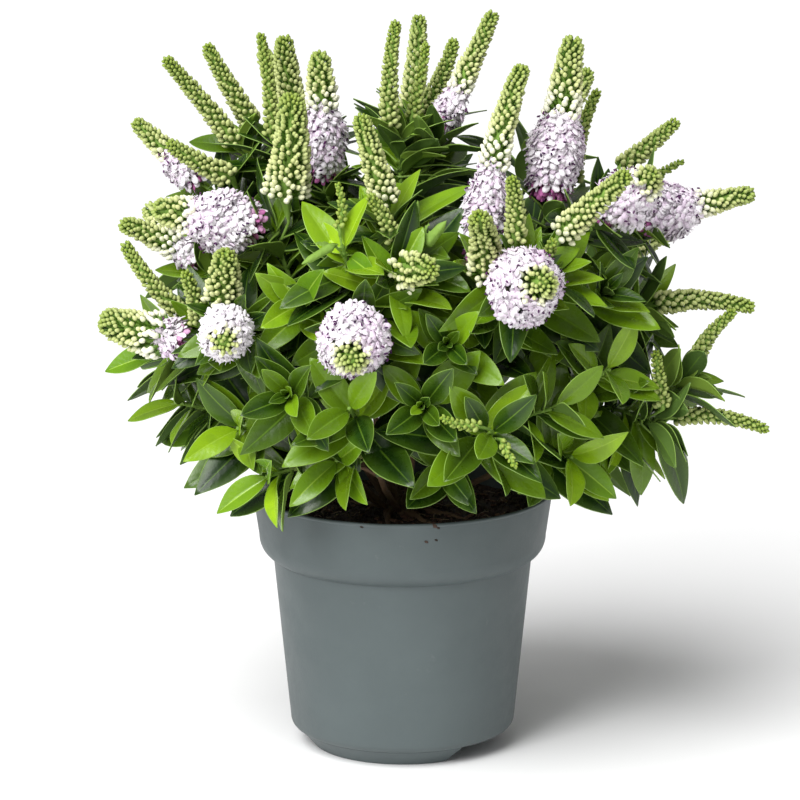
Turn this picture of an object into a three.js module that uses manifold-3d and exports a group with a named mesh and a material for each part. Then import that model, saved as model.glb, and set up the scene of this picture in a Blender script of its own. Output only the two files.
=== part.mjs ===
// A potted hebe: a shrub of opposite glossy leaves and flower spikes in a round nursery pot.
// Millimetres, +Z up. The origin is the middle of the pot's base, on the surface it stands on.
// The plant itself is set out from the middle of the soil's surface, and -Y is its front.
import * as THREE from "three";
import { mergeVertices } from "three/addons/utils/BufferGeometryUtils.js";
import Module from "manifold-3d";

const wasm = await Module();
wasm.setup();

// ---------------------------------------------------------------- driving dimensions

const gap = 0.3; // clearance between two pieces that touch

const potHeight = 122.5;
const potRimRadius = 70;
const potWall = 1.4;
const collarHeight = 24;
const collarDraft = 3; // how much narrower the collar is at its lower edge
const shoulderDrop = 10.4; // height of the rounding under the collar
const shoulderStep = 6.6; // how far the body stands in from the collar
const bodyDraft = 8; // how much narrower the body is at its heel
const heelRise = 4.6; // height of the rounded heel
const heelInset = 9.4; // how far the heel rounds in
const footHeight = 6.9;
const footDraft = 3.6; // how far the foot ring slopes in on its outer side
const footWidth = 3.4;
const padRadius = 16; // middle of the floor, pressed down to the surface the pot stands on
const notchSpan = 64; // degrees, of each of the two gaps in the foot ring
const notchAngles = [-24, 156]; // degrees from +X, middle of each gap
const drainRadius = 4;
const drainCircle = 29;
const drainCount = 6;
const potSides = 32;

const limbSteps = 4; // straight lengths in each stem
const stalkSteps = 2; // straight lengths in each spike's stalk

const soilDrop = 12.5; // from the rim down to the soil
const soilLumps = 1.1; // height of the lumps in the soil's surface

const crownRadius = 10.5; // of the root collar, and of the dome that it ends in
const crownDepth = 20; // of the root collar below the soil's surface

const plantHeight = 243; // soil's surface to the highest bud
const plantSpread = 316; // side to side
const branchRadius = 1.9;
const shootRadius = 1.2;
const stalkRadius = 0.8;
const stalkFoot = 1.5; // how far a stalk stands straight out from its seat
const leafLength = 39;
const leafWidth = 15.5;
const leafThickness = 1;
const petioleWidth = 1;
const petioleLength = 2.6;
const leafSag = 0.13; // of a leaf's length that its tip bends down by
const internode = 11; // from one leaf pair to the next
const leafPairs = 4;

// ---------------------------------------------------------------- the plant's layout

// A spike has the places of its lowest bud and its tip, the radius of its buds, and, where it is in
// flower, the share of its length that is open and the radius of the open flowers.
const spike = (name, from, to, bud, open = 0, flower = 0) => ({ name, from, to, bud, open, flower });

// A shoot has the place of its growing tip and the spikes that leave it. The first shoot of a branch
// is its leader, and each other one forks from the leader at a share of its length.
const shoot = (tip, spikes = [], fork = 0.5) => ({ tip, spikes, fork });

// A branch has its seat on the crown's dome, as degrees from +X and degrees up, and its shoots.
const branch = (seat, shoots) => ({ seat, shoots });

const branches = {
  branch_left_high: branch([153, 50], [
    shoot([-72, 15, 168], [
      spike("spike_left_tall", [-76, 10, 172], [-109, 0, 215], 4.2),
      spike("spike_left_rear", [-69, 28, 178], [-91, 25, 217], 4.4),
    ]),
    shoot([-52, 0, 170], [
      spike("spike_left_slim", [-60, -4, 178], [-65, -8, 228], 3.2),
      spike("spike_left_broad", [-47, 14, 180], [-55, 18, 222], 6.2),
    ], 0.7),
    shoot([-85, 5, 149], [
      spike("bloom_left_rear", [-94, 6, 156], [-124, 10, 184], 4.6, 0.45, 9),
      spike("spike_left_upper", [-78, -16, 162], [-107, -24, 180], 4.6),
    ], 0.55),
  ]),
  branch_left_middle: branch([198, 50], [
    shoot([-87, -18, 118], [
      spike("bloom_left_middle", [-94, -16, 124], [-129, -20, 142], 5.4, 0.3, 7.5),
    ]),
    shoot([-88, -45, 98], [
      spike("spike_left_inner", [-92, -55, 103], [-98, -66, 129], 4),
      spike("spike_left_lower", [-97, -38, 100], [-127, -35, 136], 4),
      spike("bloom_left_lower", [-99, -56, 96], [-137, -52, 104], 8.6, 0.25, 10),
    ], 0.45),
    shoot([-112, -28, 84], [], 0.5),
  ]),
  branch_left_low: branch([177, 22], [
    shoot([-104, -20, 58]),
    shoot([-75, -68, 57], [], 0.4),
    shoot([-108, 22, 70], [], 0.5),
  ]),
  branch_front_left: branch([218, 22], [
    shoot([-59, -48, 144], [
      spike("bloom_left_front", [-66, -52, 148], [-112, -60, 157], 7, 0.62, 14.2),
      spike("spike_left_front", [-53, -52, 160], [-50, -62, 209], 8.2),
    ]),
    shoot([-75, -76, 104], [
      spike("bloom_left_near", [-77, -88, 107], [-79, -113, 106], 7, 0.72, 12.5),
      spike("spike_left_near", [-81, -73, 116], [-79, -85, 142], 7.2),
    ], 0.6),
    shoot([-50, -96, 79], [], 0.4),
    shoot([-46, -86, 119], [], 0.7),
  ]),
  branch_front_low: branch([257, 22], [
    shoot([-24, -108, 76]),
    shoot([-30, -84, 46], [], 0.45),
    shoot([-62, -74, 36], [], 0.35),
  ]),
  branch_front: branch([243, 50], [
    shoot([-18, -92, 111], [
      spike("bloom_front_middle", [-19, -98, 110], [-22, -131, 102], 8, 0.72, 16.5),
    ]),
    shoot([-27, -90, 146], [
      spike("", [-28, -90, 154], [-29, -92, 175], 2.2),
      spike("", [-30, -98, 148], [-46, -110, 141], 2.2),
    ], 0.6),
    shoot([-3, -92, 132], [
      spike("spike_front_middle", [0, -99, 136], [13, -118, 141], 7.2),
    ], 0.7),
  ]),
  branch_top: branch([90, 86], [
    shoot([-1, -5, 176], [
      spike("spike_top_tall", [-6, -12, 184], [-3, -10, 234], 3.8),
      spike("spike_top_slim", [4, -2, 186], [11, 2, 222], 2.8),
      spike("spike_top_rear", [3, 16, 180], [24, 22, 220], 4.2),
    ]),
    shoot([14, 2, 174], [
      spike("bloom_top_right", [17, 0, 182], [42, 10, 235], 4.6, 0.32, 7.5),
    ], 0.7),
    shoot([-35, -12, 154], [
      spike("bloom_top_left", [-35, -13, 162], [-38, -18, 221], 6.2, 0.55, 10.5),
    ], 0.5),
  ]),
  branch_front_top: branch([288, 50], [
    shoot([-7, -68, 151], [
      spike("spike_front_tall", [-7, -75, 161], [-19, -80, 203], 5.6),
    ]),
    shoot([2, -84, 141], [
      spike("", [-3, -88, 148], [-15, -95, 170], 3.4),
      spike("", [4, -86, 149], [7, -87, 167], 2.2),
      spike("", [10, -86, 145], [20, -90, 158], 3),
    ], 0.7),
  ]),
  branch_front_right: branch([333, 50], [
    shoot([35, -70, 124], [
      spike("bloom_right_inner", [35, -70, 132], [54, -56, 222], 5.6, 0.48, 9.8),
      spike("spike_right_near", [37, -86, 132], [33, -112, 164], 6.6),
    ]),
    shoot([50, -86, 129], [
      spike("bloom_right_near", [51, -92, 126], [64, -129, 138], 7.4, 0.7, 17),
      spike("spike_right_small", [50, -92, 148], [48, -100, 179], 4.2),
    ], 0.7),
    shoot([20, -94, 102], [], 0.55),
    shoot([9, -106, 76], [], 0.4),
  ]),
  branch_front_right_low: branch([298, 22], [
    shoot([40, -112, 66], [
      spike("", [34, -118, 70], [17, -125, 76], 2.4),
      spike("", [44, -118, 64], [50, -128, 54], 2.2),
    ]),
    shoot([18, -82, 42], [], 0.45),
    shoot([70, -88, 72], [], 0.6),
  ]),
  branch_right_high: branch([18, 50], [
    shoot([66, -38, 150], [
      spike("bloom_right_tall", [66, -40, 158], [77, -35, 231], 6.8, 0.5, 13),
      spike("spike_right_slim", [78, -22, 161], [89, -15, 203], 3.4),
    ]),
    shoot([89, -38, 146], [
      spike("bloom_right_middle", [93, -42, 150], [113, -60, 173], 7, 0.7, 13.5),
    ], 0.6),
    shoot([65, -78, 130], [
      spike("spike_right_slant", [70, -78, 148], [100, -92, 179], 5.6),
      spike("", [64, -84, 136], [67, -92, 149], 3),
    ], 0.5),
  ]),
  branch_right: branch([18, 22], [
    shoot([107, 0, 138], [
      spike("bloom_right_far", [111, -3, 141], [162, 0, 152], 5.2, 0.45, 13),
      spike("spike_right_rear", [100, 14, 160], [127, 15, 183], 4.2),
      spike("", [112, 22, 150], [131, 36, 160], 2.4),
    ]),
    shoot([109, -12, 100], [
      spike("spike_right_low", [114, -12, 102], [162, -10, 100], 4.6),
    ], 0.6),
    shoot([90, -55, 116], [], 0.6),
  ]),
  branch_right_low: branch([338, 22], [
    shoot([128, -20, 68], [
      spike("spike_right_outer", [134, -18, 76], [153, -15, 100], 3.4),
    ]),
    shoot([118, -34, 52], [
      spike("spike_right_lowest", [124, -32, 54], [168, -30, 47], 3.6),
      spike("", [119, -42, 60], [115, -47, 88], 3.2),
    ], 0.7),
    shoot([94, -58, 82], [], 0.5),
    shoot([77, -62, 42], [], 0.35),
    shoot([104, -2, 36], [], 0.4),
  ]),
  branch_back_left: branch([137, 22], [
    shoot([-50, 55, 158], [
      spike("spike_back_left", [-53, 60, 166], [-66, 76, 206], 5.4),
    ]),
    shoot([-88, 54, 112], [
      spike("bloom_back_left", [-92, 58, 116], [-122, 82, 128], 6.4, 0.5, 12),
    ], 0.55),
    shoot([-58, 96, 70], [], 0.4),
    shoot([-44, 92, 122], [], 0.6),
  ]),
  branch_back: branch([98, 24], [
    shoot([4, 52, 172], [
      spike("spike_back_top", [4, 56, 180], [8, 66, 224], 5),
    ]),
    shoot([8, 98, 132], [
      spike("bloom_back_middle", [8, 103, 135], [14, 138, 150], 6.4, 0.55, 13),
    ], 0.6),
    shoot([-14, 108, 78], [], 0.4),
    shoot([34, 100, 82], [], 0.45),
  ]),
  branch_back_right: branch([58, 24], [
    shoot([62, 58, 154], [
      spike("spike_back_right", [66, 62, 161], [88, 78, 196], 5.4),
    ]),
    shoot([96, 50, 108], [
      spike("spike_back_low", [101, 52, 112], [134, 68, 124], 5),
    ], 0.55),
    shoot([70, 86, 66], [], 0.4),
    shoot([106, 36, 60], [], 0.5),
  ]),
};

// ---------------------------------------------------------------- solids

const v3 = (x, y, z) => new THREE.Vector3(x, y, z);
const rad = THREE.MathUtils.degToRad;

// The closed solid of a three.js geometry.
function solidOf(geometry) {
  geometry.deleteAttribute("normal");
  geometry.deleteAttribute("uv");
  const merged = mergeVertices(geometry, 1e-4);
  return new wasm.Manifold(new wasm.Mesh({
    numProp: 3,
    vertProperties: merged.attributes.position.array,
    triVerts: new Uint32Array(merged.index.array),
  }));
}

// The geometry of a solid, for its mesh.
function geometryOf(solid) {
  const { vertProperties, triVerts } = solid.getMesh();
  return new THREE.BufferGeometry()
    .setAttribute("position", new THREE.BufferAttribute(vertProperties, 3))
    .setIndex(new THREE.BufferAttribute(triVerts, 1));
}

// A solid of revolution about Z, from [radius, height] points that start and end on the axis or close.
function turned(points, sides) {
  const profile = points.map(([r, z]) => new THREE.Vector2(r, z));
  return new THREE.LatheGeometry(profile, sides).rotateX(Math.PI / 2);
}

// A rod that follows a curve: `profile` holds [share of the length, radius], `across` is the direction of
// its width, and `flatten` gives the share that is left of its thickness at a radius.
function rod(curve, profile, sides, across, flatten = () => 1) {
  const points = profile.map(([t, r]) => new THREE.Vector2(r, t));
  const geometry = new THREE.LatheGeometry(points, sides, Math.PI);
  const place = geometry.attributes.position;
  for (let i = 0; i < place.count; i++) {
    const share = THREE.MathUtils.clamp(place.getY(i), 0, 1);
    const along = curve.getTangent(share);
    const side = across.clone().addScaledVector(along, -across.dot(along)).normalize();
    const up = side.clone().cross(along);
    const point = curve.getPoint(share)
      .addScaledVector(side, place.getX(i))
      .addScaledVector(up, place.getZ(i) * flatten(Math.hypot(place.getX(i), place.getZ(i))));
    place.setXYZ(i, point.x, point.y, point.z);
  }
  return solidOf(geometry);
}

// Points on a quarter of a bend, from one corner point towards another round `corner`.
function bend(from, corner, to, steps) {
  const curve = new THREE.QuadraticBezierCurve(
    new THREE.Vector2(...from), new THREE.Vector2(...corner), new THREE.Vector2(...to));
  return curve.getPoints(steps).map((p) => [p.x, p.y]);
}

// ---------------------------------------------------------------- pot and soil

const collarFoot = [potRimRadius - collarDraft, potHeight - collarHeight];
const bodyTop = [collarFoot[0] - shoulderStep, collarFoot[1] - shoulderDrop];
const bodyFoot = [bodyTop[0] - bodyDraft, footHeight + heelRise];
const heelFoot = [bodyFoot[0] - heelInset, footHeight];
const padSlope = 2.5; // how far the wall of the pressed-down pad leans out

// The pot's outer surface without its foot ring, from the middle of the floor up to the rim, or the
// same surface moved in by `inset`.
function potOutline(inset) {
  return [
    [0, inset],
    [padRadius - inset, inset],
    [padRadius + padSlope - inset, footHeight + inset],
    ...bend(
      [heelFoot[0], footHeight + inset],
      [bodyFoot[0] - 1 - inset, footHeight + inset],
      [bodyFoot[0] - inset, bodyFoot[1] + inset * 0.6], 2),
    ...bend(
      [bodyTop[0] - inset, bodyTop[1]],
      [collarFoot[0] - inset, bodyTop[1] + shoulderDrop * 0.3],
      [collarFoot[0] - inset, collarFoot[1]], 3),
    [potRimRadius - inset, potHeight],
  ];
}

function notch(middle) {
  const from = rad(middle - notchSpan / 2);
  const to = rad(middle + notchSpan / 2);
  const outline = new THREE.Shape()
    .absarc(0, 0, bodyFoot[0], from, to, false)
    .absarc(0, 0, padRadius + padSlope + gap, to, from, true);
  return solidOf(new THREE.ExtrudeGeometry(outline, {
    depth: footHeight + 1,
    bevelEnabled: false,
    curveSegments: 6,
  }).translate(0, 0, -1));
}

function drainHole(index) {
  const angle = rad((index + 0.5) * 360 / drainCount);
  return solidOf(new THREE.CylinderGeometry(drainRadius, drainRadius, 4 * potWall, 8)
    .rotateX(Math.PI / 2)
    .translate(drainCircle * Math.cos(angle), drainCircle * Math.sin(angle), footHeight));
}

function nurseryPot() {
  const shell = solidOf(turned([...potOutline(0), ...potOutline(potWall).reverse()], potSides));
  const overlap = potWall / 2;
  const footTop = footHeight + overlap;
  const ring = [
    [heelFoot[0] - footWidth, footTop],
    [heelFoot[0] - footDraft - footWidth, 0],
    [heelFoot[0] - footDraft, 0],
    [heelFoot[0], footTop],
  ];
  let foot = solidOf(turned([...ring, ring[0]], potSides));
  for (const middle of notchAngles) foot = foot.subtract(notch(middle));
  let pot = shell.add(foot);
  for (let i = 0; i < drainCount; i++) pot = pot.subtract(drainHole(i));
  return pot;
}

const soilTop = potHeight - soilDrop;

// The crown's dome, above its root collar, as [radius, height above the soil].
const crownDome = [0, 22.5, 45, 67.5, 90].map((angle) => [
  crownRadius * Math.cos(rad(angle)), crownRadius * Math.sin(rad(angle))]);

function crownOutline(clearance) {
  return [
    [0, -crownDepth - clearance],
    [crownRadius * 0.6 + clearance, -crownDepth - clearance],
    [crownRadius + clearance, -2],
  ];
}

function pottingSoil() {
  const inside = potOutline(potWall + gap).filter(([, z]) => z < soilTop - 2);
  const wallSlope = collarDraft / collarHeight;
  const edge = potRimRadius - potWall - gap - soilDrop * wallSlope - 0.1;
  const surface = [0.8, 0.45].map((share) => [edge * share, soilTop]);
  const hollow = crownOutline(gap).map(([r, z]) => [r, z + soilTop]).reverse();
  const brim = [crownRadius + gap, soilTop - 0.6];
  const geometry = turned([...inside, [edge, soilTop - 0.8], ...surface, brim, ...hollow], potSides);
  const place = geometry.attributes.position;
  for (let i = 0; i < place.count; i++) {
    const [x, y, z] = [place.getX(i), place.getY(i), place.getZ(i)];
    if (Math.abs(z - soilTop) > 1e-3) continue;
    const lumps = Math.sin(x * 0.31 + 1) * Math.cos(y * 0.27) + Math.sin(x * 0.13 - y * 0.19);
    place.setZ(i, z + soilLumps * lumps * 0.5);
  }
  return solidOf(geometry);
}

function woodyCrown() {
  const outline = [...crownOutline(0), ...crownDome].map(([r, z]) => [r, z + soilTop]);
  return solidOf(turned(outline, 16));
}

// ---------------------------------------------------------------- the plant

const spreadScale = plantSpread / 316;
const heightScale = plantHeight / 243;
const inPlant = ([x, y, z]) => v3(x * spreadScale, y * spreadScale, soilTop + z * heightScale);
const heart = v3(0, 0, soilTop + 45 * heightScale); // what the shoots spread away from
const crownMiddle = v3(0, 0, soilTop);

// Everything that has grown so far, which what grows later keeps clear of.
const grown = [];

function remember(solid, owner) {
  grown.push({ solid, box: solid.boundingBox(), owner });
  return solid;
}

function boxesMeet(a, b) {
  return [0, 1, 2].every((k) => a.min[k] < b.max[k] + gap && b.min[k] < a.max[k] + gap);
}

function isClear(solid, owners) {
  const box = solid.boundingBox();
  return !grown.some((other) => {
    if (owners.includes(other.owner) || !boxesMeet(box, other.box)) return false;
    const common = solid.intersect(other.solid);
    const meets = !common.isEmpty();
    common.delete();
    return meets;
  });
}

// A repeatable number from 0 to 1 for each index.
function chance(index) {
  const wave = Math.sin(index * 12.9898 + 4.1) * 43758.5453;
  return wave - Math.floor(wave);
}

const directionAt = (point) => point.clone().sub(heart).normalize();

// A limb follows a smooth curve in straight lengths, so that what grows on it can find its axis.
function limb(curve, steps) {
  const path = new THREE.CurvePath();
  const points = curve.getPoints(steps);
  for (let i = 0; i < steps; i++) path.add(new THREE.LineCurve3(points[i], points[i + 1]));
  return path;
}

// The share of a limb's length at the end of each of its straight lengths.
function cornersOf(path) {
  const lengths = path.getCurveLengths();
  return lengths.map((reach) => reach / lengths.at(-1));
}

// A leader leaves its seat on the crown's dome squarely, and turns outwards to its tip.
function leaderCurve([azimuth, height], tip) {
  const turn = rad(azimuth);
  const climb = rad(height);
  const normal = v3(Math.cos(climb) * Math.cos(turn), Math.cos(climb) * Math.sin(turn), Math.sin(climb));
  const seat = crownMiddle.clone().addScaledVector(normal, crownRadius + gap);
  const reach = seat.distanceTo(tip);
  return limb(new THREE.CubicBezierCurve3(
    seat,
    seat.clone().addScaledVector(normal, reach * 0.35),
    tip.clone().addScaledVector(directionAt(tip), -reach * 0.3),
    tip), limbSteps);
}

// A side shoot leaves its leader along the leader, and turns to its own tip.
function forkCurve(leader, fork, tip) {
  const from = leader.getPoint(fork);
  const reach = from.distanceTo(tip);
  return limb(new THREE.CubicBezierCurve3(
    from,
    from.clone().addScaledVector(leader.getTangent(fork), reach * 0.3),
    tip.clone().addScaledVector(directionAt(tip), -reach * 0.35),
    tip), limbSteps);
}

const sideways = v3(0.37, 0.21, 0.91).normalize();

function stem(path, thick, thin) {
  const rings = cornersOf(path).map((share) => [share, thick + (thin - thick) * share]);
  return rod(path, [[0, 0], [0, thick], ...rings, [1, 0]], 5, sideways);
}

// A spike's radii along its length, above its stalk.
function spikeProfile({ bud, open, flower }) {
  if (!open) return [[0.12, bud], [0.7, bud * 0.8], [1, 0]];
  return [[open * 0.2, flower * 0.9], [open * 0.8, flower * 0.95], [open + 0.08, bud], [0.88, bud * 0.7],
    [1, 0]];
}

// The stalk leaves a seat on its shoot and bends to the spike's own line, and the buds follow it.
function flowerSpike(item, seat, leave) {
  const from = inPlant(item.from);
  const to = inPlant(item.to);
  const along = to.clone().sub(from).normalize();
  const foot = seat.clone().addScaledVector(leave, stalkFoot);
  const reach = foot.distanceTo(from);
  const path = limb(new THREE.CubicBezierCurve3(
    foot,
    foot.clone().addScaledVector(leave, reach * 0.35),
    from.clone().addScaledVector(along, -reach * 0.35),
    from), stalkSteps);
  path.curves.unshift(new THREE.LineCurve3(seat, foot));
  path.add(new THREE.LineCurve3(from, to));
  const corners = cornersOf(path).slice(0, -1);
  const start = corners.at(-1);
  const rings = corners.map((share) => [share, stalkRadius]);
  const body = spikeProfile(item).map(([share, radius]) => [start + (1 - start) * share, radius]);
  return rod(path, [[0, 0], [0, stalkRadius], ...rings, ...body], item.open ? 7 : 6, sideways);
}

// The seats of a shoot's spikes: the first leaves the shoot's end, and the others its side.
function spikeSeat(curve, length, index, from) {
  if (index === 0) {
    const end = curve.getTangent(1);
    return { seat: curve.getPoint(1).addScaledVector(end, gap), leave: end };
  }
  const share = 1 - (index * 5) / length;
  const point = curve.getPoint(share);
  const along = curve.getTangent(share);
  const off = from.clone().sub(point);
  off.addScaledVector(along, -off.dot(along)).normalize();
  return { seat: point.addScaledVector(off, shootRadius + gap), leave: off };
}

// A leaf from `base` along `out`, with its upper face towards `up`.
function leaf(base, out, up, length, width, thickness) {
  const across = out.clone().cross(up);
  const tip = base.clone().addScaledVector(out, length).addScaledVector(up, -leafSag * length);
  const middle = base.clone().addScaledVector(out, length * 0.5).addScaledVector(up, leafSag * 0.12 * length);
  const midrib = new THREE.QuadraticBezierCurve3(base, middle, tip);
  const reach = width / Math.sqrt(3); // a three-sided section reaches that far from its middle
  const neck = petioleWidth / Math.sqrt(3);
  const profile = [[0, 0], [0, neck], [petioleLength / length, neck], [0.46, reach], [1, 0]];
  return rod(midrib, profile, 3, across, (radius) => thickness / Math.max(1.5 * radius, thickness));
}

// What a leaf that is in another piece's way tries: [opened by, turned by] in degrees, and its size.
const tries = [1, 0.82].flatMap((size) => [
  [0, 0], [14, 14], [14, -14], [-14, 14], [-14, -14], [0, 32], [0, -32], [26, 0], [-24, 0],
].map(([open, turn]) => ({ open, turn, size })));

// The leaves of one shoot: pairs, each at a right angle to the last, larger and wider open further
// from the tip. Each keeps clear of all but its own stem and its twin.
function leavesOf(curve, seed, owner) {
  const length = curve.getLength();
  const leaves = [];
  for (let pair = 0; pair < leafPairs; pair++) {
    const share = 1 - (3 + pair * internode) / length;
    if (share < 0.12) continue;
    const base = curve.getPoint(share);
    const along = curve.getTangent(share);
    const level = v3(0, 0, 1).cross(along).normalize();
    for (const side of [0, 180]) {
      const index = seed * 20 + pair * 2 + side / 180;
      const jitter = chance(index) - 0.5;
      const age = Math.min(pair / 2.5, 1);
      for (const { open, turn, size } of tries) {
        const round = rad(45 + pair * 90 + side + jitter * 24 + turn);
        const lean = rad(34 + age * 34 + jitter * 16 + open);
        const off = level.clone().applyAxisAngle(along, round);
        const out = along.clone().multiplyScalar(Math.cos(lean)).addScaledVector(off, Math.sin(lean));
        const up = along.clone().multiplyScalar(Math.sin(lean)).addScaledVector(off, -Math.cos(lean));
        const grow = size * (0.66 + age * 0.34) * (0.92 + 0.16 * chance(index + 0.5));
        const root = base.clone().addScaledVector(out, shootRadius * 0.1);
        const test = leaf(root, out, up, leafLength * grow + gap, leafWidth * grow + 2 * gap,
          leafThickness + 2 * gap);
        const fits = isClear(test, [owner, owner + "pair" + pair]);
        test.delete();
        if (!fits) continue;
        const blade = leaf(root, out, up, leafLength * grow, leafWidth * grow, leafThickness);
        leaves.push(remember(blade, owner + "pair" + pair));
        break;
      }
    }
  }
  return leaves;
}

// ---------------------------------------------------------------- assembly

const finish = (color, roughness) => new THREE.MeshStandardMaterial({ color, roughness, metalness: 0 });
const finishes = {
  pot: finish(0x68757a, 0.55),
  soil: finish(0x2a1d16, 0.95),
  wood: finish(0x5b4632, 0.85),
  leaf: finish(0x3f7a26, 0.4),
  bud: finish(0x9db86a, 0.6),
  flower: finish(0xe6dbe8, 0.6),
};

const plant = new THREE.Group();

function addMesh(name, solid, material) {
  const mesh = new THREE.Mesh(geometryOf(solid), material);
  mesh.name = name;
  plant.add(mesh);
}

addMesh("nursery_pot", remember(nurseryPot(), "pot"), finishes.pot);
addMesh("potting_soil", remember(pottingSoil(), "soil"), finishes.soil);
addMesh("woody_crown", remember(woodyCrown(), "crown"), finishes.wood);

// Stems first, then the spikes on them, and last the leaves, which find their way between both.
const axes = [];
for (const [name, { seat, shoots }] of Object.entries(branches)) {
  let leader;
  for (const item of shoots) {
    const tip = inPlant(item.tip);
    const curve = leader ? forkCurve(leader, item.fork, tip) : leaderCurve(seat, tip);
    const wood = stem(curve, leader ? shootRadius : branchRadius, shootRadius);
    leader = leader || curve;
    const owner = "shoot" + axes.length;
    remember(wood, owner);
    axes.push({ name, item, curve, owner, parts: [wood] });
  }
}
for (const axis of axes) {
  const length = axis.curve.getLength();
  axis.item.spikes.forEach((item, index) => {
    const { seat, leave } = spikeSeat(axis.curve, length, index, inPlant(item.from));
    if (item.name) {
      const grownSpike = remember(flowerSpike(item, seat, leave), item.name);
      addMesh(item.name, grownSpike, item.open ? finishes.flower : finishes.bud);
    } else {
      const inside = seat.clone().addScaledVector(leave, -gap - shootRadius / 2);
      const spikelet = flowerSpike(item, inside, leave);
      remember(spikelet, axis.owner);
      axis.parts.push(spikelet);
    }
  });
}
axes.forEach((axis, seed) => {
  const leaves = leavesOf(axis.curve, seed, axis.owner);
  axis.parts.push(...leaves);
});
for (const name of Object.keys(branches)) {
  const parts = axes.filter((axis) => axis.name === name).flatMap((axis) => axis.parts);
  const whole = parts.reduce((joined, part) => joined.add(part));
  addMesh(name, whole, finishes.leaf);
}

export default plant;
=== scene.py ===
"""A potted hebe: glossy leaves in opposite pairs, spikes of round buds and small pale flowers, and a
grey nursery pot. Each leaf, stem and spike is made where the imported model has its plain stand-in."""

import math

import bmesh
import bpy
import numpy as np
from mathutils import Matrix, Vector, noise


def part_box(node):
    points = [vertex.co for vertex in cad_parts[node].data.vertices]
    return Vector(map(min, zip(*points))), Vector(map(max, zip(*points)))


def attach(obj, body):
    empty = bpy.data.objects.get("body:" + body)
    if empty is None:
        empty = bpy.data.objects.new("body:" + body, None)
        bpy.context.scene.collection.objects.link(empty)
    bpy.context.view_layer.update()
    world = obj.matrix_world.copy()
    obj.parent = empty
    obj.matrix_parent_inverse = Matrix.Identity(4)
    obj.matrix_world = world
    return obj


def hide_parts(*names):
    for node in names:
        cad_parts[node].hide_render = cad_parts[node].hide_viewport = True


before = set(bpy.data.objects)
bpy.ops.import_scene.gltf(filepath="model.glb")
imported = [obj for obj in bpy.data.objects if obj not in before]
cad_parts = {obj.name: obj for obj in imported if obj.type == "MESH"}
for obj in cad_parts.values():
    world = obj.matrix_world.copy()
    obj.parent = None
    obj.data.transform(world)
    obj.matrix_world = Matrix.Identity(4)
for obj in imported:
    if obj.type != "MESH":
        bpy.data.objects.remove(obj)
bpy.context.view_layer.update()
chance = np.random.default_rng(7)

MM = 0.001
ROUND = 2 * math.pi
GOLDEN = math.pi * (3 - math.sqrt(5))  # the turn from each bud on a spiral to the next
SKEW = (0.31, 0.22, 0.92)  # a direction along which few things point, to start a set of axes from

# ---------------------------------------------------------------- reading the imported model


def welded(node):
    """The corners of a CAD node, its triangles, and for each corner those that it is joined to."""
    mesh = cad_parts[node].data
    mesh.calc_loop_triangles()
    places = np.empty(len(mesh.vertices) * 3)
    mesh.vertices.foreach_get("co", places)
    corners = np.empty(len(mesh.loop_triangles) * 3, dtype=np.int64)
    mesh.loop_triangles.foreach_get("vertices", corners)
    points, index = np.unique(np.round(places.reshape(-1, 3), 7), axis=0, return_inverse=True)
    faces = index.reshape(-1)[corners].reshape(-1, 3)
    near = [set() for _ in points]
    for a, b, c in faces.tolist():
        near[a] |= {b, c}
        near[b] |= {a, c}
        near[c] |= {a, b}
    return points, faces, near


def rings_from(start, near, most):
    """The rings of corners round `start`, each one edge further out."""
    rings = []
    seen = {start}
    edge = {start}
    while edge and len(rings) < most:
        edge = set().union(*(near[i] for i in edge)) - seen
        seen |= edge
        if edge:
            rings.append(sorted(edge))
    return rings


def unit(v):
    return v / np.linalg.norm(v)


def way(turn, *height):
    """The direction at an angle round Z, with a height where one is given."""
    return np.array([math.cos(turn), math.sin(turn), *height])


LEAF_SAG = 0.13  # share of a leaf's length by which its tip is bent down
ARCH, DROOP = 0.24, 1.24  # how much its midrib first rises and then falls
WIDEST = 0.46  # share of a stand-in leaf's length at which it is widest
SHORTEST_REACH = 7 * MM  # from a stand-in's widest place to its tip
SLIMMEST, BROADEST = 0.1, 1.2  # a stand-in's width as a share of that reach


def midrib(share):
    """The height of a leaf's midrib over its straight line, as a share of the leaf's length."""
    return LEAF_SAG * (ARCH * share - DROOP * share ** 2)


def leaf_at(tip, points, near):
    """The leaf whose stand-in has its tip at that corner, or None where the corner is no leaf's tip."""
    ring = sorted(near[tip])
    if len(ring) != 3 or not all(set(ring) - {i} <= near[i] for i in ring):
        return None
    pairs = [(ring[i], ring[j], ring[3 - i - j]) for i, j in ((0, 1), (0, 2), (1, 2))]
    left, right, keel = max(pairs, key=lambda p: np.linalg.norm(points[p[0]] - points[p[1]]))
    width = np.linalg.norm(points[left] - points[right])
    middle = points[ring].mean(axis=0)
    reach = np.linalg.norm(points[tip] - middle)
    if reach < SHORTEST_REACH or not SLIMMEST < width / reach < BROADEST:
        return None
    side = unit(points[right] - points[left])
    over = unit((points[left] + points[right]) / 2 - points[keel])
    along = np.cross(over, side)
    if along @ (points[tip] - middle) < 0:
        along, side = -along, -side
    # At its widest place the midrib already slopes down, so the leaf's own line is turned back by that.
    slope = LEAF_SAG * (2 * DROOP * WIDEST - ARCH)
    out = unit(along + slope * over)
    up = unit(over - slope * along)
    length = reach / math.hypot(1 - WIDEST, LEAF_SAG + midrib(WIDEST))
    base = middle - length * (WIDEST * out + midrib(WIDEST) * up)
    return {"base": base, "out": out, "up": up, "side": np.cross(out, up), "length": length,
            "width": width, "corners": {tip, *ring}}


MOST_RINGS = 12


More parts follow.
